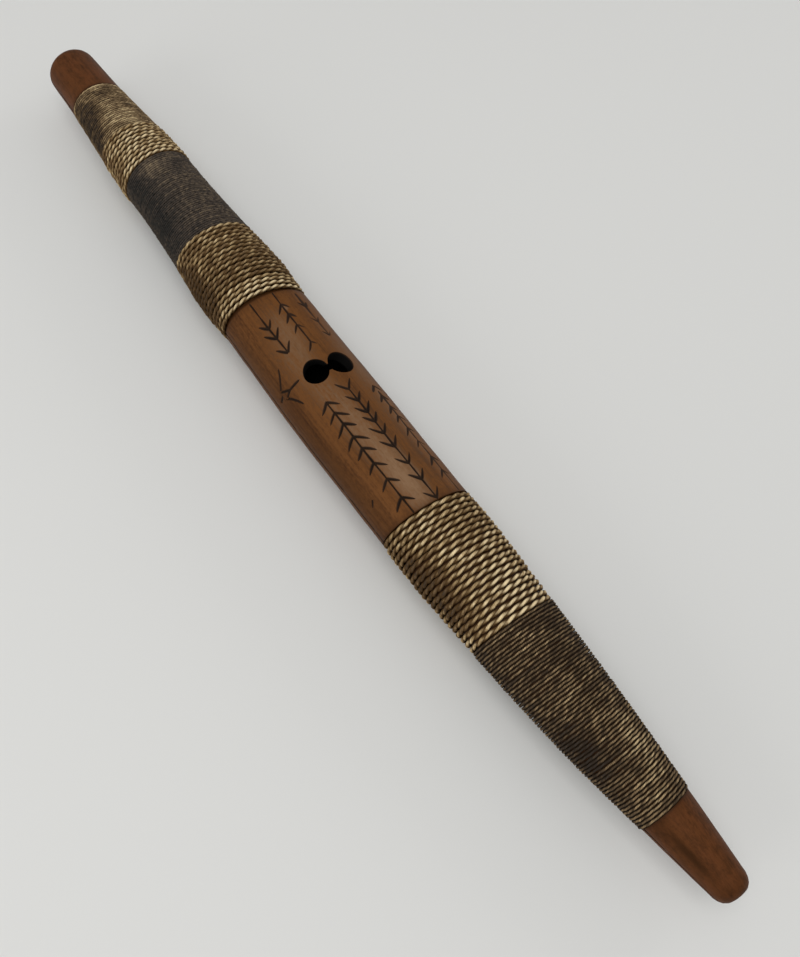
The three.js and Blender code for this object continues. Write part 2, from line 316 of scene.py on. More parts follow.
def patches(station, across, spots):
    """The sum of soft spots: each is its strength times e to minus the squared distance in its own widths."""
    total = np.zeros(np.broadcast(station, across).shape)
    for at, turn, long, wide, strength in spots:
        away = np.angle(np.exp(1j * (across - math.radians(turn))))
        total = total + strength * np.exp(-(((station - at) / long) ** 2) - (away / math.radians(wide)) ** 2)
    return total


def grid_faces(rows, columns, wrap_rows=False, wrap_columns=False):
    """Quads between neighbours of a grid of points, row by row, joined round where it wraps."""
    i = np.arange(rows if wrap_rows else rows - 1)[:, None]
    k = np.arange(columns if wrap_columns else columns - 1)[None, :]
    corners = (
        i * columns + k,
        (i + 1) % rows * columns + k,
        (i + 1) % rows * columns + (k + 1) % columns,
        i * columns + (k + 1) % columns,
    )
    return np.stack([np.broadcast_to(c, (i.size, k.size)).ravel() for c in corners], -1)


def end_caps(rows, columns):
    """The two end faces of a tube whose sections are the rows of a grid, turned as its quads are."""
    return [np.arange(columns), (rows - 1) * columns + np.arange(columns)[::-1]]


def outward(points, quads, caps):
    """The faces turned outwards: all are reversed if the sum of a·(b×c) over their triangles, six times the
    volume, is negative. Says as well whether they were."""
    volume = 0.0
    for face in (quads.T, *(np.array(cap)[:, None] for cap in caps)):
        a = points[face[0]]
        for b, c in zip(face[1:-1], face[2:]):
            volume += np.einsum("ij,ij->", a, np.cross(points[b], points[c]))
    if volume >= 0:
        return quads, caps, False
    return quads[:, ::-1], [cap[::-1] for cap in caps], True


def new_mesh(name, points, quads, caps=(), uv=None):
    """A closed mesh of quads and end faces, turned outwards and shaded smooth, with a UV for each quad's
    corners where they are given."""
    points = np.asarray(points, float).reshape(-1, 3)
    quads, caps, turned = outward(points, quads, caps)
    mesh = bpy.data.meshes.new(name)
    mesh.from_pydata(points.tolist(), [], quads.tolist() + [cap.tolist() for cap in caps])
    if uv is not None:
        layer = mesh.uv_layers.new(name="UVMap")
        flat = np.zeros((len(mesh.loops), 2))
        flat[: uv.shape[0] * 4] = (uv[:, ::-1] if turned else uv).reshape(-1, 2)
        layer.uv.foreach_set("vector", flat.ravel())
    mesh.shade_smooth()
    return mesh


def add_piece(name, mesh, nodes, finish):
    """A piece of the object, with its finish, the CAD nodes it stands for and its body."""
    piece = bpy.data.objects.new(name, mesh)
    bpy.context.scene.collection.objects.link(piece)
    mesh.materials.append(finish)
    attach(piece, "root")
    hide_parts(*nodes)
    return piece


def set_attribute(mesh, name, values):
    """Stores one number for each vertex."""
    layer = mesh.attributes.new(name, "FLOAT", "POINT")
    layer.data.foreach_set("value", np.ascontiguousarray(values, np.float32).ravel())


def tone(red, green, blue):
    """The linear colour of an sRGB one from 0 to 255: (c + 0.055) / 1.055 to the power 2.4 above the toe."""
    shares = [channel / 255 for channel in (red, green, blue)]
    return tuple(c / 12.92 if c <= 0.04045 else ((c + 0.055) / 1.055) ** 2.4 for c in shares)


class Shade:
    """A socket of a material's tree. Arithmetic on it adds Math nodes; node() adds any other node."""

    def __init__(self, tree, socket=None):
        self.tree = tree
        self.socket = socket

    def node(self, kind, settings=None, inputs=None, output=0):
        """Adds a node of a type, with its settings first and then the values or links of its sockets."""
        made = self.tree.nodes.new(kind)
        for name, value in (settings or {}).items():
            if name == "stops":
                ramp = made.color_ramp
                while len(ramp.elements) < len(value):
                    ramp.elements.new(1.0)
                for element, (position, colour) in zip(ramp.elements, value):
                    element.position = position
                    element.color = (*colour, 1.0)
            else:
                setattr(made, name, value)
        for name, value in (inputs or {}).items():
            if isinstance(value, Shade):
                self.tree.links.new(value.socket, made.inputs[name])
            elif made.inputs[name].type == "RGBA":
                made.inputs[name].default_value = (*value, 1.0)
            else:
                made.inputs[name].default_value = value
        return Shade(self.tree, made.outputs[output])

    def maths(self, operation, first, second, clamp=False):
        settings = {"operation": operation, "use_clamp": clamp}
        return self.node("ShaderNodeMath", settings, {0: first, 1: second})

    def __add__(self, other):
        return self.maths("ADD", self, other)

    def __radd__(self, other):
        return self.maths("ADD", other, self)

    def __sub__(self, other):
        return self.maths("SUBTRACT", self, other)

    def __rsub__(self, other):
        return self.maths("SUBTRACT", other, self)

    def __mul__(self, other):
        return self.maths("MULTIPLY", self, other)

    def __rmul__(self, other):
        return self.maths("MULTIPLY", other, self)

    def clamp(self):
        return self.maths("ADD", self, 0.0, clamp=True)

    def ease(self, low, high):
        """Smoothstep of this value between two others."""
        return self.node(
            "ShaderNodeMapRange",
            {"interpolation_type": "SMOOTHSTEP"},
            {"Value": self, "From Min": low, "From Max": high},
        )

    def blend(self, first, second):
        """A colour mixed from first to second by this value."""
        return self.node("ShaderNodeMix", {"data_type": "RGBA"}, {0: self, 6: first, 7: second}, output=2)

    def attribute(self, name):
        return self.node("ShaderNodeAttribute", {"attribute_name": name}, output=2)

    def bump(self, distance, strength):
        """A surface direction that this value tilts, as a height of up to a distance in metres."""
        return self.node("ShaderNodeBump", {}, {"Height": self, "Distance": distance, "Strength": strength})

    def noise(self, scale, detail, roughness, distortion=0.0, source="Object"):
        """Smooth noise of about 0.3 to 0.7 on Object coordinates or the piece's UV, scaled on each axis so
        that its lumps are one over the scale long."""
        coordinates = self.node("ShaderNodeTexCoord", output={"Object": 3, "UV": 2}[source])
        stretched = self.node("ShaderNodeMapping", {}, {"Vector": coordinates, "Scale": scale})
        values = {
            "Vector": stretched,
            "Scale": 1.0,
            "Detail": detail,
            "Roughness": roughness,
            "Distortion": distortion,
        }
        return self.node("ShaderNodeTexNoise", {}, values)


def new_finish(name, **fixed):
    """A material with one Principled shader, its constant numbers set on the shader's own sockets."""
    material = bpy.data.materials.new(name)
    material.use_nodes = True
    shader = material.node_tree.nodes["Principled BSDF"]
    for socket, value in fixed.items():
        shader.inputs[socket.replace("_", " ")].default_value = value
    return material, shader, Shade(material.node_tree)


def feed(shader, **links):
    """Links values that change over the surface to the shader's sockets."""
    for socket, value in links.items():
        value.tree.links.new(value.socket, shader.inputs[socket.replace("_", " ")])


class PutorinoWood(bpy.types.PropertyGroup):
    """Colours of the wood and the depth of its carving."""

    body: bpy.props.FloatVectorProperty(
        name="Wood", description="Main colour of the wood", subtype="COLOR",
        default=tone(104, 65, 31))
    streak: bpy.props.FloatVectorProperty(
        name="Streaks", description="Darker grain in the wood", subtype="COLOR",
        default=tone(62, 35, 14))
    # Worn: paler where worn, and also a painted highlight and sheen where the light falls
    pale: bpy.props.FloatVectorProperty(
        name="Worn", description="Paler wood where hands have worn it", subtype="COLOR",
        default=tone(130, 100, 73))
    red: bpy.props.FloatVectorProperty(
        name="Ends", description="Redder wood of the two ends", subtype="COLOR",
        default=tone(90, 51, 25))
    # Grime: painted shade along and under the bindings and on the side away from the light, with dirt
    grime: bpy.props.FloatVectorProperty(
        name="Grime", description="Dirt along the bindings and the shadowed side", subtype="COLOR",
        default=tone(50, 27, 6))
    # Cuts: painted shade inside the carved lines
    cut: bpy.props.FloatVectorProperty(
        name="Cuts", description="Dark inside of the carved lines", subtype="COLOR",
        default=tone(42, 30, 22))
    carving_depth: bpy.props.FloatProperty(
        name="Carving depth", description="Depth of the carved strokes", unit="LENGTH", subtype="DISTANCE",
        default=0.65 * MM, min=0.1 * MM, max=1.5 * MM)


class PutorinoCord(bpy.types.PropertyGroup):
    """Colours and twist of the bindings."""

    # Pale: the most worn crests, and also a painted highlight where light falls on them
    pale: bpy.props.FloatVectorProperty(
        name="Pale", description="Most worn crests", subtype="COLOR",
        default=tone(240, 217, 172))
    straw: bpy.props.FloatVectorProperty(
        name="Straw", description="Crests of the coarse lashings", subtype="COLOR",
        default=tone(180, 153, 109))
    tan: bpy.props.FloatVectorProperty(
        name="Tan", description="Middle colour of the lashings", subtype="COLOR",
        default=tone(112, 88, 60))
    stain: bpy.props.FloatVectorProperty(
        name="Stain", description="Stained crests of the lashings", subtype="COLOR",
        default=tone(62, 49, 35))
    # Dark: painted shade in the creases between the plies and the turns
    dark: bpy.props.FloatVectorProperty(
        name="Dark", description="Creases of the cord", subtype="COLOR",
        default=tone(78, 56, 29))
    brown: bpy.props.FloatVectorProperty(
        name="Brown", description="Body of the fine whippings", subtype="COLOR",
        default=tone(54, 47, 41))
    gold: bpy.props.FloatVectorProperty(
        name="Gold", description="Worn ridges of the fine whippings", subtype="COLOR",
        default=tone(160, 134, 98))
    gum: bpy.props.FloatVectorProperty(
        name="Gum", description="Gum that seals the seam", subtype="COLOR",
        default=tone(54, 32, 17))
    lay: bpy.props.FloatProperty(
        name="Lay", description="Length of one twist of the cord, in cord diameters", default=4.0, min=2.0,
        max=8.0)


class PutorinoStage(bpy.types.PropertyGroup):
    """Floor, lamps and camera."""

    floor: bpy.props.FloatVectorProperty(
        name="Floor", description="Colour of the floor", subtype="COLOR", default=(0.72, 0.72, 0.70))
    sky: bpy.props.FloatProperty(
        name="Sky", description="Strength of the even light from all round", default=0.55, min=0.0, max=2.0)
    key: bpy.props.FloatProperty(
        name="Key lamp", description="Power of the large lamp overhead", unit="POWER", default=6.0, min=0.0,
        max=50.0)
    lens: bpy.props.FloatProperty(
        name="Lens", description="Focal length on a 36 mm wide sensor", unit="CAMERA", default=33.5, min=20.0,
        max=100.0)


def sections(spans):
    """Stations from one end of each span to the other, evenly spaced and no further apart than its step."""
    runs = [np.linspace(a, b, max(2, math.ceil((b - a) / step) + 1)) for a, b, step in spans]
    return np.unique(np.round(np.concatenate(runs), 4))


def bed_ends(name):
    """Stations where a binding's bed starts and ends, with any open groove after it."""
    return START[name], START[name] + LENGTH[name] + BINDINGS[name]["groove"]


def wood_outside(station):
    """Outside of the wood: the body less each bed, whose depth (cord less what stands proud) comes in over a
    short ramp at either end."""
    radius = body_radius(station)
    for name, binding in BINDINGS.items():
        first, last = bed_ends(name)
        rise = ease(station, first - BED_RAMP, first + BED_RAMP)
        inside = rise * (1 - ease(station, last - BED_RAMP, last + BED_RAMP))
        radius = radius - (binding["cord"] - binding["proud"]) * inside
    return radius


# How a hand-carved outside wanders: the height, length and swing of its waves along the body, and the height
# and length of those round it
LONG_WAVE = (0.07, 31, 6)
ROUND_WAVE = (0.05, 14)

# Stretches at the blowing end and the foot over which the carved waves and the seam's wear die away
SMOOTH_TIP = 15
SMOOTH_FOOT = 20

# Distances from the seam of a half's last columns of points
NEAR_SEAM = (0.2, 0.5, 1.0)


def hand_carved(station, angle):
    """How far hands carved the outside off its true shape: in long waves along the body, which swing to and
    fro twice in a round, and in shorter ones round it."""
    height, length, swing = LONG_WAVE
    along = height * wander(station + swing * np.sin(2 * angle), length, 5)
    height, length = ROUND_WAVE
    return along + height * wander(wood_outside(station) * angle, length, 9)


def outside_stations(fine):
    """Stations for the outside: close together on bare wood, and closest at the edges of the beds."""
    spans = [
        (TIP_ROUND, START["tip_whipping"], END_STEP),
        (START["tip_whipping"], START["bare_middle"], HIDDEN_STEP),
        (START["bare_middle"], START["lower_lashing"], fine),
        (START["lower_lashing"], START["bare_foot"], HIDDEN_STEP),
        (START["bare_foot"], TOTAL - FOOT_ROUND, END_STEP),
    ]
    for name in BINDINGS:
        for edge in bed_ends(name):
            spans.append((edge - EDGE_REACH, edge + EDGE_REACH, EDGE_STEP))
    return sections(spans)


def half_shell(front):
    """One half of the tube, closed: a profile of outside, foot rim, bore and blowing rim is swept from one
    seam face to the other. The blowing rim is half an ellipse over the wall; the foot's is two quarters that
    meet at its crest, near the bore, so the foot ends in a dome.

    The angle is the share of the way to a seam times (90° less the angle whose sine is half the seam over the
    radius), so both faces are flat. The outside wanders where hands carved it, less and less towards the
    rims, and drops off at the seam's edge by e to minus the distance over its reach.
    """
    step = FRONT_STEP if front else BACK_STEP
    foot, tip = TOTAL - FOOT_ROUND, TIP_ROUND
    outer = outside_stations(step)
    inner = sections([(tip, foot, BORE_STEP)])[::-1]
    turn = math.pi * np.arange(1, RIM_STEPS) / RIM_STEPS
    foot_wall = wood_outside(foot) - bore_radius(foot)
    foot_crest = bore_radius(foot) + FOOT_CREST * foot_wall
    foot_share = np.where(np.cos(turn) > 0, 1 - FOOT_CREST, FOOT_CREST)
    tip_middle = (wood_outside(tip) + bore_radius(tip)) / 2
    tip_half = (wood_outside(tip) - bore_radius(tip)) / 2
    station = np.concatenate([outer, foot + FOOT_ROUND * np.sin(turn), inner, tip - TIP_ROUND * np.sin(turn)])
    radius = np.concatenate([
        wood_outside(outer),
        foot_crest + foot_share * foot_wall * np.cos(turn),
        bore_radius(inner),
        tip_middle - tip_half * np.cos(turn),
    ])
    outside = np.zeros(len(station))
    outside[: len(outer)] = ease(outer, tip, SMOOTH_TIP) * (1 - ease(outer, TOTAL - SMOOTH_FOOT, foot))

    share = np.linspace(-1, 1, int(BELLY * math.pi / step) + 1)
    near_seam = 1 - np.array(NEAR_SEAM) / (BELLY * math.pi / 2)
    share = np.unique(np.concatenate([share, near_seam, -near_seam]))
    reach = math.pi / 2 - np.arcsin(SEAM / 2 / radius)
    angle = share[None, :] * reach[:, None]
    if not front:
        angle = math.pi - angle
    from_edge = (1 - np.abs(share))[None, :] * (math.pi / 2) * radius[:, None]
    carved = hand_carved(station[:, None], angle) - SEAM_WEAR * np.exp(-from_edge / SEAM_WEAR_REACH)
    radius = radius[:, None] + carved * outside[:, None]
    points = place(station[:, None], radius, angle)
    rows, columns = points.shape[:2]
    quads = grid_faces(rows, columns, wrap_rows=True)
    first = np.arange(rows) * columns
    caps = [first[::-1], first + columns - 1]
    return new_mesh("half", points, quads, caps)


def spindle(path_x, path_across, width, depth, shape):
    """A cutter for one carved line: a V whose half-width and depth both follow the shape along its path,
    carried on above the wood at the same slope.

    Sideways is the path's direction on the unrolled surface, turned by 90°.
    """
    along = np.gradient(path_x)
    around = np.gradient(path_across) * BELLY
    length = np.hypot(along, around)
    side_x, side_a = -around / length, along / length
    deep = depth * shape
    half = width / 2 * shape
    spread = half * (1 + CUT_LIFT / deep)
    rows = [
        on_body(path_x, path_across, -deep),
        on_body(path_x + side_x * spread, path_across + side_a * spread / BELLY, CUT_LIFT),
        on_body(path_x - side_x * spread, path_across - side_a * spread / BELLY, CUT_LIFT),
    ]
    return np.stack(rows, 1)


def cutter_object(name, solids):
    """One object of separate closed cutters, each a stack of sections."""
    points, faces, start = [], [], 0
    for solid in solids:
        flat = solid.reshape(-1, 3)
        quads = grid_faces(*solid.shape[:2], wrap_columns=True)
        quads, caps, _ = outward(flat, quads, end_caps(*solid.shape[:2]))
        points.append(flat)
        faces += (quads + start).tolist() + [(cap + start).tolist() for cap in caps]
        start += len(flat)
    mesh = bpy.data.meshes.new(name)
    mesh.from_pydata(np.concatenate(points).tolist(), [], faces)
    cutter = bpy.data.objects.new(name, mesh)
    bpy.context.scene.collection.objects.link(cutter)
    return cutter


# How far a carved line's cutter stands above the wood, the width of a stem's own line, and how deep it is cut
# against its arms
CUT_LIFT = 0.7
STEM_WIDTH = 1.15
STEM_DEPTH = 0.85

# Carved stems: the angle and x of both ends, the chevrons' points, which way their arms lie (1 towards the
# foot), each side's arm as (along, across, strength) in mm, and how deep the stem is cut against the deepest
STEMS = (
    ((-6.0, 184.0), (-4.4, 214.8), (200.2, 206.3, 214.8), -1, (4.6, 3.8, 1.0), (4.2, 3.4, 0.9), 0.9),
    ((25.8, 185.0), (25.6, 216.8), (193.0, 199.0, 205.6, 216.2), 1, (4.6, 3.9, 0.8), (3.2, 2.6, 0.45), 0.75),
    ((55.5, 189.0), (56.5, 216.5), (198.0, 207.6, 216.0), -1, (3.4, 3.4, 0.4), (3.2, 2.8, 0.3), 0.27),
    ((-5.2, 243.2), (-4.9, 306.5), (243.8, 249.7, 255.8, 263.2, 269.4, 277.6, 286.3, 296.2), 1,
     (3.5, 5.3, 1.0), (4.7, 4.5, 1.0), 1.0),
    ((26.0, 243.8), (26.4, 307.0), (244.6, 251.5, 258.0, 263.3, 269.8, 277.2, 286.3, 295.2, 304.9), -1,
     (5.2, 3.9, 1.0), (4.6, 3.7, 1.0), 0.95),
    ((61.0, 250.0), (61.6, 307.0), (246.8, 252.5, 259.0, 264.5, 271.2, 278.5, 287.5, 294.8), 1,
     (4.0, 4.2, 0.5), (2.8, 3.2, 0.4), 0.32),
)

# The carved bird beside the opening: each stroke's two ends as (x, angle), its width in mm and its bend
BIRD = (
    ((227.5, -35.0), (227.7, -12.5), 1.9, 0.0),
    ((226.9, -56.0), (226.1, -45.5), 2.2, 0.0),
    ((227.6, -30.0), (223.9, -47.0), 1.9, 0.2),
    ((224.4, -45.5), (216.2, -25.5), 1.7, 1.0),
    ((227.6, -30.0), (229.2, -43.5), 1.8, -0.2),
    ((229.0, -42.5), (237.6, -26.5), 1.8, -1.1),
)


def arm(x, across, along, aside, width, depth, bend, point=0.6):
    """One stroke from its point outwards: its shape is t + 0.12 to the power 0.35 times 1 − t to the power of
    the point, so it is widest part of the way out, and the bend times 4t(1−t) bows it along the body."""
    t = np.linspace(0, 1, 11)
    shape = np.maximum((t + 0.12) ** 0.35 * (1 - t) ** point, 0.06)
    path_x = x + along * t + bend * 4 * t * (1 - t)
    return spindle(path_x, across + (aside * t) / BELLY, width, depth, shape / shape.max())


def carving_cutters(depth):
    """Cutters for the stems, for the arms on either side of them, and for the bird beside the opening.

    A stem's line wanders a little, in place and in width, and each arm's length, bend, width and depth are
    drawn afresh, because every stroke was cut by hand.
    """
    rng = np.random.default_rng(11)
    stems, left, right = [], [], []
    for start, end, tips, way, upper, lower, strength in STEMS:
        t = np.linspace(0, 1, 81)
        x = start[1] + (end[1] - start[1]) * t
        across = np.radians(start[0] + (end[0] - start[0]) * t) + 0.006 * wander(x, 40, 7)
        from_end = np.minimum(t, 1 - t) * (end[1] - start[1])
        shape = np.clip(from_end, 0.3, 1) * (1 + 0.2 * wander(x, 11, 3))
        stems.append(spindle(x, across, STEM_WIDTH, depth * STEM_DEPTH * strength, shape))
        for tip in tips:
            for group, (along, aside, force), side in ((left, upper, -1), (right, lower, 1)):
                grow = rng.uniform(0.88, 1.12)
                bend = rng.uniform(-0.35, 0.35)
                width = rng.uniform(1.5, 2.0) * (0.6 + 0.4 * force)
                base = np.interp(tip, x, across) + side * 0.05 / BELLY
                deep = depth * force * rng.uniform(0.9, 1.1)
                group.append(arm(tip, base, way * along * grow, side * aside * grow, width, deep, bend))
    for group, strokes in ((stems, BIRD[:2]), (left, BIRD[2:4]), (right, BIRD[4:])):
        for (x, angle), (far_x, far_angle), width, bend in strokes:
            aside = math.radians(far_angle - angle) * BELLY
            group.append(arm(x, math.radians(angle), far_x - x, aside, width, depth, bend, 0.35))
    # A lone short stroke left of the lower stems
    left.append(arm(288.4, math.radians(-35), 2.6, -2.7, 1.4, depth * 0.9, 0))
    return [("stems", stems), ("left arms", left), ("right arms", right)]


# Front opening: the x, angle and half-lengths along and across of each lobe, and of the neck where they meet
LOBES = ((229.5, 8.2, 5.75, 5.75), (231.1, 41.3, 5.75, 5.95), (231.0, 24.8, 1.5, 2.3))

# A lobe cutter's sides, how far under the surface its sections lie, how uneven they are, and how deep and how
# wide its rim is worn
LOBE_SIDES = 48
LOBE_DOWN = (9.0, 4.0, 0.6, 0.42, 0.27, 0.14, 0.05, 0.0, -0.8)
LOBE_UNEVEN = 0.12
RIM_DEPTH = 0.6
RIM_WIDTH = 0.3


def lobe_cutter(x, degrees, long, wide):
    """A cutter for one lobe: ellipses square to the wood's surface, a little uneven, that grow near it by a
    quarter round, so the rim is worn."""
    beta = TURN * np.arange(LOBE_SIDES) / LOBE_SIDES
    down = np.array(LOBE_DOWN)
    share = np.clip(1 - down / RIM_DEPTH, 0, 1)
    grow = RIM_WIDTH * (1 - np.sqrt(1 - share**2))
    grow[-1] = grow[-2]
    reach_x = long + grow[:, None]
    reach_a = wide + grow[:, None]
    squeeze = 1 - np.maximum(down, 0)[:, None] / BELLY
    path_x = x + reach_x * np.cos(beta) + LOBE_UNEVEN * np.sin(3 * beta + 1)
    path_a = math.radians(degrees) + reach_a * np.sin(beta) / BELLY / squeeze
    return on_body(path_x, path_a, -down[:, None])


def carve(piece, cutters):
    """Takes groups of cutters out of a piece one after another, and keeps the result as its mesh."""
    made = []
    for name, solids in cutters:
        cutter = cutter_object(name, solids)
        cutter.hide_render = True
        made.append(cutter)
        modifier = piece.modifiers.new(name, "BOOLEAN")
        modifier.operation = "DIFFERENCE"
        modifier.solver = "MANIFOLD"
        modifier.object = cutter
    shown = piece.evaluated_get(bpy.context.evaluated_depsgraph_get())
    mesh = bpy.data.meshes.new_from_object(shown)
    piece.modifiers.clear()
    old = piece.data
    piece.data = mesh
    bpy.data.meshes.remove(old)
    for cutter in made:
        bpy.data.objects.remove(cutter)
    return mesh


# Depths under the outside at which the attributes reach 1: deep, for the painted shade in the holes, and
# cut, for the painted shade in the carving
DEEP_REACH = 3
CUT_REACH = 0.3

# Stations over which the red of the blowing end gives way to brown, and the foot's takes over again
RED_FADES = ((150, 190), (300, 370))


def mark_wood(mesh):
    """Attributes of the wood: how deep a vertex lies under the outside, as shares of two depths but not at
    the two ends, for the painted shade inside the holes and the cuts; where the wood is pale from wear
    and painted highlight and sheen; where it is red; and where it has painted shade and dirt."""
    points = np.empty(len(mesh.vertices) * 3)
    mesh.vertices.foreach_get("co", points)
    station, radius, angle = unplace(points.reshape(-1, 3))
    across = angle + SLANT_PHASE
    # The carved waves don't join up round the body, so angles run from −90° to 270°, as the halves were swept
    as_swept = np.mod(angle + math.pi / 2, TURN) - math.pi / 2
    depth = wood_outside(station) + hand_carved(station, as_swept) - radius
    inland = ease(station, 8, 14) * (1 - ease(station, TOTAL - 16, TOTAL - 8))
    set_attribute(mesh, "deep", np.clip(depth / DEEP_REACH, 0, 1) * inland)
    set_attribute(mesh, "cut", np.clip(depth / CUT_REACH, 0, 1) * inland)
    set_attribute(mesh, "pale", np.clip(patches(station, across, WEAR_AND_SHEEN_SPOTS), 0, 1))
    middle = ease(station, *RED_FADES[0]) * (1 - ease(station, *RED_FADES[1]))
    set_attribute(mesh, "red", np.clip(1 - middle + patches(station, across, RED_SPOTS), 0, 1))
    grime = patches(station, across, SHADE_AND_GRIME_SPOTS)
    # Painted shade in the beds under the bindings and along their edges, where wood meets cord
    for name in BINDINGS:
        first, last = bed_ends(name)
        before_last = 1 - ease(station, last - 0.1, last + 0.5)
        grime = grime + 2 * ease(station, first - 0.5, first + 0.1) * before_last
        for edge in (first, last):
            grime = grime + 0.4 * np.exp(-(((station - edge) / 2.2) ** 2))
    set_attribute(mesh, "grime", np.clip(grime, 0, 1))


# Linear colour of the painted shade on the tube's inside and the opening's walls, seen through the opening
INSIDE_SHADE = (0.006, 0.0055, 0.005)


def wood_finish(settings):
    """Oiled wood: orange-brown with fine dark grain along it, paler where it is worn and where a painted
    highlight and sheen stand in for the light, redder at the ends, with painted shade in the cuts, along and
    under the bindings and on the side away from the light, and painted darkness inside the holes.

    Lines are the grain, broad its bands, figure and mottle its fine unevenness, cloud its slow changes and
    pores its dark dashes. Each is a noise about its middle, times how strongly it shows.
    """
    material, shader, shade = new_finish("oiled wood", IOR=1.46, Specular_IOR_Level=0.08)
    lines = shade.noise((22, 900, 900), 3, 0.65, 0.15)
    broad = shade.noise((9, 210, 210), 2, 0.5, 0.3)
    cloud = shade.noise((30, 70, 70), 2, 0.5)
    pores = shade.noise((160, 3600, 3600), 2, 0.6)
    figure = shade.noise((500, 900, 900), 3, 0.65)
    grime = shade.attribute("grime").clamp()
    streak = (lines - 0.5) * 1.6 + (broad - 0.5) * 1.3 + (figure - 0.5) * 1.6 + (cloud - 0.5) * 0.7 + 0.28
    streak = streak.clamp()
    colour = streak.blend(settings.body, settings.streak)
    reds = (shade.attribute("red") + (cloud - 0.5) * 0.6).clamp()
    mottle = shade.noise((220, 420, 420), 4, 0.7, 0.5)
    dark = (streak * 0.7 + (mottle - 0.5) * 3.0 + 0.1).clamp()
    ends = dark.blend(settings.red, settings.streak)
    colour = (reds * 0.9).blend(colour, ends)
    # Paler where worn, and where a painted highlight and sheen stand in for the light
    pale = shade.attribute("pale")
    worn = (pale + (lines - 0.5) * 0.8 + (cloud - 0.5) * 0.5 + (figure - 0.5)).clamp()
    colour = (worn * pale.ease(0.0, 0.4)).blend(colour, settings.pale)
    colour = (pores.ease(0.56, 0.74) * 0.35).blend(colour, settings.streak)
    # Painted shade along and under the bindings and on the side away from the light, with dirt
    colour = (grime * 0.85).blend(colour, settings.grime)
    # Painted shade inside the carved lines
    cut = shade.attribute("cut")
    colour = (cut.ease(0.12, 0.5) * 0.95).blend(colour, settings.cut)
    # Painted shade: the opening's walls and the tube's inside, where light hardly reaches, near black
    colour = shade.attribute("deep").ease(0.08, 0.3).blend(colour, INSIDE_SHADE)
    rough = worn * -0.08 + 0.5 + (lines - 0.5) * 0.25 + cut * 0.3
    height = lines * 0.5 + pores * 0.35 + cloud * 0.4
    bump = height.bump(0.1 * MM, 0.4)
    feed(shader, Base_Color=colour, Roughness=rough.clamp(), Normal=bump)
    return material


def gum_finish(settings):
    """Dark hardened gum, uneven and a little glossy."""
    material, shader, shade = new_finish("seam gum", IOR=1.5)
    lumps = shade.noise((500, 500, 500), 3, 0.6)
    colour = lumps.ease(0.35, 0.7).blend(settings.gum, tone(74, 46, 25))
    bump = lumps.bump(0.2 * MM, 0.6)
    feed(shader, Base_Color=colour, Roughness=lumps * 0.3 + 0.35, Normal=bump)
    return material


def cord_finish(name, crease, stops, ridge, along, uneven):
    """Plant-fibre cord: painted shade in the creases, and on the crests a colour that follows how worn it is.

    The wear changes from strand to strand, from fibre to fibre and in small blots, each a noise about its
    middle; along is how many lumps a centimetre of cord has, and uneven how strongly they show. The ridge is
    the height on the cord over which its painted crease shade gives way to its crest.
    """
    material, shader, shade = new_finish(name, IOR=1.4, Specular_IOR_Level=0.2)
    strand = shade.noise((along, 0.35, 1), 1, 0.5, source="UV")
    fibres = shade.noise((along, 5, 1), 3, 0.75, 0.2, "UV")
    hairs = shade.noise((2.2, 20, 1), 2, 0.6, source="UV")
    blots = shade.noise((700, 700, 700), 2, 0.6)
    clouds = shade.noise((110, 110, 110), 3, 0.65, 0.4)
    change = (
        (strand - 0.5) * 1.2
        + (fibres - 0.5) * 0.8
        + (blots - 0.5) * 0.6
        + (clouds - 0.5) * 0.7
        + (hairs - 0.5) * 0.7
    )
    level = (shade.attribute("worn") + change * uneven).clamp()
    worn = shade.node("ShaderNodeValToRGB", {"stops": stops}, {"Fac": level})
    # Painted shade in the creases, giving way to the crest's colour over the ridge
    open_side = (shade.attribute("crest") + (fibres - 0.5) * 0.3).ease(*ridge)
    colour = open_side.blend(crease, worn)
    height = fibres * 0.6 + hairs * 0.6 + blots * 0.3
    bump = height.bump(0.2 * MM, 0.9)
    feed(shader, Base_Color=colour, Roughness=0.9 - open_side * 0.15, Normal=bump)
    return material


def path_frame(points, away):
    """Two directions square to a path, whose tangent is taken by differences: the one that points away from
    the body, made square to the tangent, and the tangent's cross product with it."""
    tangent = np.gradient(points, axis=0)
    tangent /= np.linalg.norm(tangent, axis=1, keepdims=True)
    normal = away - (away * tangent).sum(1, keepdims=True) * tangent
    normal /= np.linalg.norm(normal, axis=1, keepdims=True)
    return normal, np.cross(tangent, normal)


# Shares of the pitch by which a cord's place and its crown wander, and of its radius by which a ply swells
PLACE_WANDER = 0.06
CROWN_WANDER = 0.05
PLY_SWELL = 0.07

# How far an end of a cord sinks and how thin it gets, in cord radii
END_SINK = 0.9
END_THIN = 0.35


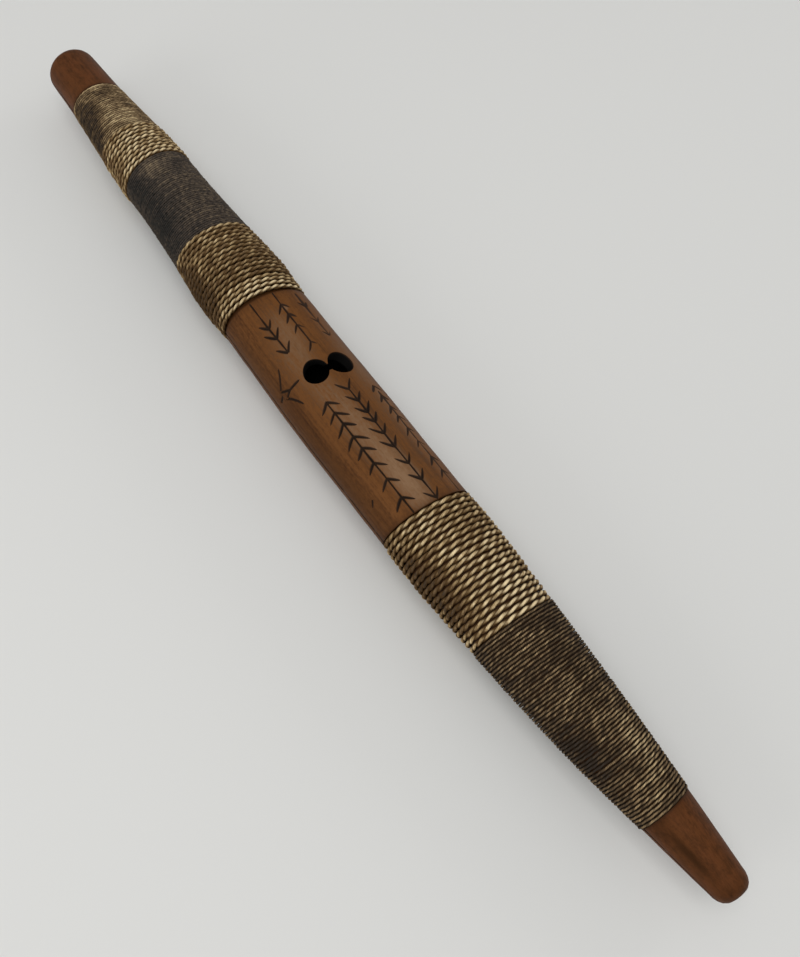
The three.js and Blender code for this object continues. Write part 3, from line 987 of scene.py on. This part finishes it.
def cord_path(name, steps, full, seed):
    """Centre line of a binding's cord: turns lie side by side, and each steps over to the next at the back.

    Its radius puts the crown at the body plus what stands proud. Its crown wanders, and so does its place,
    but not in the first and last turn. The ends sink into the bed and thin over a short run. Returns the
    points (mm), the direction away from the body, the station, the angle, the length so far, the cord's
    radius all the way, and the pitch.
    """
    binding = BINDINGS[name]
    turns = binding["turns"]
    pitch = LENGTH[name] / turns
    t = np.linspace(STEP_OVER, turns - STEP_OVER, turns * steps + 1)
    angle = math.pi + TURN * t
    near = np.round(t)
    station = START[name] + pitch * (near - 0.5 + ease(t - near, -STEP_OVER, STEP_OVER))
    loose = np.clip(np.minimum(t, turns - t) - 1, 0, 1)
    station = station + pitch * PLACE_WANDER * loose * wander(t, 2.3, seed)
    cord = pitch / 2 * full
    end = ease(np.minimum(t, turns - t), STEP_OVER, STEP_OVER + END_RUN)
    crown = body_radius(station) + binding["proud"] - END_SINK * cord * (1 - end)
    crown = crown + CROWN_WANDER * pitch * (wander(t, 1.9, seed + 1) - 1)
    points = place(station, crown - cord, angle) / MM
    away = place(station, crown + 1, angle) / MM - points
    step = np.linalg.norm(np.diff(points, axis=0), axis=1)
    length = np.concatenate([[0], np.cumsum(step)])
    return points, away, station, angle, length, cord * (END_THIN + (1 - END_THIN) * end), pitch


def cord_piece(name, kind, lay, seed, finish):
    """A binding wound from real cord, of two plies or one.

    Each ply is a tube whose section turns about the cord's centre once in a lay. With two plies, each is a
    circle set off from the centre. With one, the section is a circle whose radius is 0.9 + 0.1·cos 2a of the
    cord's, so that two lobes turn with the lay. What would lie under the ground is pressed flat on it.
    """
    plies, sides = kind["plies"], kind["sides"]
    points, away, station, angle, length, cord, pitch = cord_path(name, kind["steps"], kind["full"], seed)
    normal, side = path_frame(points, away)
    alpha = TURN * np.arange(sides) / sides
    lobes = 1 if plies == 2 else 0.9 + 0.1 * np.cos(2 * alpha)
    offset, share = (PLY_OFFSET, PLY_RADIUS) if plies == 2 else (0, 1)
    turn = -TURN * length / (lay * pitch) + 2.2 * wander(length, 240, seed + 2)
    grids = []
    for ply in range(plies):
        psi = turn + math.pi * ply
        along = np.cos(psi)[:, None] * normal + np.sin(psi)[:, None] * side
        aside = -np.sin(psi)[:, None] * normal + np.cos(psi)[:, None] * side
        swell = cord * (1 + PLY_SWELL * wander(length, 9, seed + 5 + ply))
        centre = points + offset * swell[:, None] * along
        radius = share * swell[:, None]
        grids.append(
            centre[:, None, :]
            + (radius * np.cos(alpha) * lobes)[:, :, None] * along[:, None, :]
            + (radius * np.sin(alpha) * lobes)[:, :, None] * aside[:, None, :]
        )
    grids = np.stack(grids)
    height = ((grids - points[None, :, None, :]) * normal[None, :, None, :]).sum(-1) / cord[None, :, None]
    grids[..., 2] = np.maximum(grids[..., 2], 0.0)
    rows = grids.shape[1]
    quads, caps = [], []
    for ply in range(plies):
        start = ply * rows * sides
        quads.append(grid_faces(rows, sides, wrap_columns=True) + start)
        caps += [cap + start for cap in end_caps(rows, sides)]
    # The UV runs in centimetres along the cord and in shares of a round across it, apart for each ply
    u = length / 10
    i = np.repeat(np.arange(rows - 1), sides)
    k = np.tile(np.arange(sides), rows - 1)
    corner_u = np.stack([u[i], u[i + 1], u[i + 1], u[i]], -1)
    corner_v = np.stack([k, k, k + 1, k + 1], -1) / sides
    uv = np.stack([corner_u, corner_v], -1)
    uv = np.concatenate([uv + (0, ply * 1.37) for ply in range(plies)])
    mesh = new_mesh(name, grids * MM, np.concatenate(quads), caps, uv)
    level, relief, spots = WEAR[name]
    # Crest: the height on the cord, so its low sides and creases take painted shade
    set_attribute(mesh, "crest", 1 - relief * (1 - np.clip(height, 0, 1)))
    across = angle + SLANT_PHASE
    # Wear, with painted highlight towards the front and painted shade away from the light
    worn = level + patches(station, across, spots) + 0.08 * wander(length, 130, seed + 8)
    set_attribute(mesh, "worn", np.broadcast_to(worn[None, :, None], height.shape))
    add_piece(name, mesh, [name], finish)


class PUTORINO_OT_wood(bpy.types.Operator):
    """Builds the two wooden halves, with the front opening and the carved lines cut into the front one."""

    bl_idname = "putorino.wood"
    bl_label = "Wooden Halves"

    def execute(self, context):
        settings = context.scene.putorino_wood
        finish = wood_finish(settings)
        front = add_piece("wood_front_half", half_shell(True), ["front_half"], finish)
        lobes = [("lobe", [lobe_cutter(*lobe)]) for lobe in LOBES]
        carve(front, lobes + carving_cutters(settings.carving_depth / MM))
        back = add_piece("wood_back_half", half_shell(False), ["back_half"], finish)
        for piece in (front, back):
            mark_wood(piece.data)
            piece.data.shade_smooth()
            piece.data.set_sharp_from_angle(angle=math.radians(32))
            if not len(piece.data.polygons):
                raise RuntimeError(f"{piece.name} came out empty")
        return {"FINISHED"}


# How far the gum clears each face of the seam, how far its outer edge lies under the wood's outside, and how
# much that varies
GUM_CLEARANCE = 0.005
GUM_SUNK = 0.28
GUM_UNEVEN = 0.15


class PUTORINO_OT_gum(bpy.types.Operator):
    """Builds the two strips of gum in the seams between the halves."""

    bl_idname = "putorino.gum"
    bl_label = "Seam Gum"

    def execute(self, context):
        finish = gum_finish(context.scene.putorino_cord)
        station = outside_stations(BACK_STEP)
        # The section: a bar that all but fills the seam, with its outer edge rounded by the drops
        height = (SEAM / 2 - GUM_CLEARANCE) * np.array([-1, -0.6, 0, 0.6, 1, 1, -1])
        drop = np.array([0.16, 0.04, 0, 0.04, 0.16])
        inner = bore_radius(station) + GUM_RECESS
        for name, node, side in (("gum_left", "seam_gum_left", -1), ("gum_right", "seam_gum_right", 1)):
            outer = wood_outside(station) + (GUM_UNEVEN * wander(station, 7, 21 + side) - GUM_SUNK)
            radius = np.concatenate([outer[:, None] - drop, inner[:, None], inner[:, None]], 1)
            rows = place(station[:, None], radius, side * math.pi / 2)
            rows[..., 2] += height * MM
            sides = rows.shape[1]
            quads = grid_faces(len(station), sides, wrap_columns=True)
            mesh = new_mesh(name, rows, quads, end_caps(len(station), sides))
            mesh.set_sharp_from_angle(angle=math.radians(50))
            add_piece(name, mesh, [node], finish)
        return {"FINISHED"}


class PUTORINO_OT_lashings(bpy.types.Operator):
    """Winds the three coarse lashings from two-ply cord."""

    bl_idname = "putorino.lashings"
    bl_label = "Coarse Lashings"

    def execute(self, context):
        settings = context.scene.putorino_cord
        stops = [
            (0.0, settings.stain),
            (0.3, settings.tan),
            (0.62, settings.straw),
            (1.0, settings.pale),
        ]
        # Dark creases: painted shade between the plies and turns
        finish = cord_finish("straw cord", settings.dark, stops, (0.42, 1.0), 1.7, 1.0)
        twists = (("neck_lashing", 0.8, 40), ("upper_lashing", 0.85, 50), ("lower_lashing", 1.0, 60))
        for name, twist, seed in twists:
            cord_piece(name, TWO_PLY, settings.lay * twist, seed, finish)
        return {"FINISHED"}


class PUTORINO_OT_whippings(bpy.types.Operator):
    """Winds the three fine whippings."""

    bl_idname = "putorino.whippings"
    bl_label = "Fine Whippings"

    def execute(self, context):
        settings = context.scene.putorino_cord
        gold = [
            (0.0, settings.brown),
            (0.35, tone(98, 79, 56)),
            (0.7, settings.gold),
            (1.0, tone(220, 194, 148)),
        ]
        dull = [
            (0.0, tone(42, 40, 37)),
            (0.4, tone(72, 63, 55)),
            (0.8, tone(116, 101, 82)),
            (1.0, tone(150, 132, 104)),
        ]
        # Crease colours: painted shade between the turns of the fine cords
        worn = cord_finish("worn fine cord", tone(42, 31, 19), gold, (0.55, 1.0), 1.2, 1.0)
        plain = cord_finish("dark fine cord", tone(34, 30, 26), dull, (0.1, 0.8), 5.0, 0.75)
        cord_piece("tip_whipping", FINE, 4.0, 110, worn)
        cord_piece("upper_whipping", FINE, 5.0, 120, plain)
        cord_piece("lower_whipping", FINE, 6.5, 130, worn)
        return {"FINISHED"}


class PUTORINO_OT_stage(bpy.types.Operator):
    """Sets up the pale floor, the soft lamps, the even sky and the camera."""

    bl_idname = "putorino.stage"
    bl_label = "Stage"

    def execute(self, context):
        settings = context.scene.putorino_stage
        scene = context.scene
        scene.view_settings.view_transform = "Standard"
        reach = FLOOR_REACH
        corners = [(-reach, -reach), (reach, -reach), (reach, reach), (-reach, reach)]
        floor_mesh = bpy.data.meshes.new("floor")
        floor_mesh.from_pydata([(x, y, FLOOR_LEVEL) for x, y in corners], [], [(0, 1, 2, 3)])
        material, _, _ = new_finish("floor", Base_Color=(*settings.floor, 1.0), Roughness=0.9)
        floor_mesh.materials.append(material)
        floor = bpy.data.objects.new("floor", floor_mesh)
        scene.collection.objects.link(floor)

        world = bpy.data.worlds.new("studio")
        world.use_nodes = True
        background = world.node_tree.nodes["Background"]
        background.inputs["Color"].default_value = (1, 1, 1, 1)
        background.inputs["Strength"].default_value = settings.sky
        scene.world = world

        for name, at, size, share in LAMPS:
            lamp = bpy.data.lights.new(name, "AREA")
            lamp.shape = "SQUARE"
            lamp.size = size
            lamp.energy = settings.key * share
            stand = bpy.data.objects.new(name, lamp)
            stand.location = at
            stand.rotation_euler = (-Vector(at)).to_track_quat("-Z", "Y").to_euler()
            scene.collection.objects.link(stand)

        camera = bpy.data.cameras.new("camera")
        camera.lens = settings.lens
        camera.sensor_width = 36.0
        camera.sensor_fit = "AUTO"
        camera.clip_start = 0.01
        view = bpy.data.objects.new("camera", camera)
        axes = Matrix((Vector(CAMERA_RIGHT), -Vector(CAMERA_DOWN), -Vector(CAMERA_FORWARD)))
        view.matrix_world = Matrix.Translation(Vector(CAMERA_AT) * MM) @ axes.transposed().to_4x4()
        scene.collection.objects.link(view)
        scene.camera = view
        return {"FINISHED"}


class PUTORINO_PT_panel(bpy.types.Panel):
    """Lists the steps of the build in the sidebar."""

    bl_label = "Putorino"
    bl_idname = "PUTORINO_PT_panel"
    bl_space_type = "VIEW_3D"
    bl_region_type = "UI"
    bl_category = "Putorino"

    def draw(self, context):
        for operator in OPERATORS:
            self.layout.operator(operator.bl_idname)
        for group in GROUPS:
            settings = getattr(context.scene, group)
            for name in settings.__annotations__:
                self.layout.prop(settings, name)


OPERATORS = (
    PUTORINO_OT_wood,
    PUTORINO_OT_gum,
    PUTORINO_OT_lashings,
    PUTORINO_OT_whippings,
    PUTORINO_OT_stage,
)
GROUPS = {"putorino_wood": PutorinoWood, "putorino_cord": PutorinoCord, "putorino_stage": PutorinoStage}
CLASSES = (*GROUPS.values(), *OPERATORS, PUTORINO_PT_panel)


def register():
    for kind in CLASSES:
        bpy.utils.register_class(kind)
    for name, kind in GROUPS.items():
        setattr(bpy.types.Scene, name, bpy.props.PointerProperty(type=kind))


def unregister():
    for name in GROUPS:
        delattr(bpy.types.Scene, name)
    for kind in reversed(CLASSES):
        bpy.utils.unregister_class(kind)


def main():
    register()
    bpy.ops.putorino.wood()
    bpy.ops.putorino.gum()
    bpy.ops.putorino.lashings()
    bpy.ops.putorino.whippings()
    bpy.ops.putorino.stage()


if __name__ == "__main__":
    main()
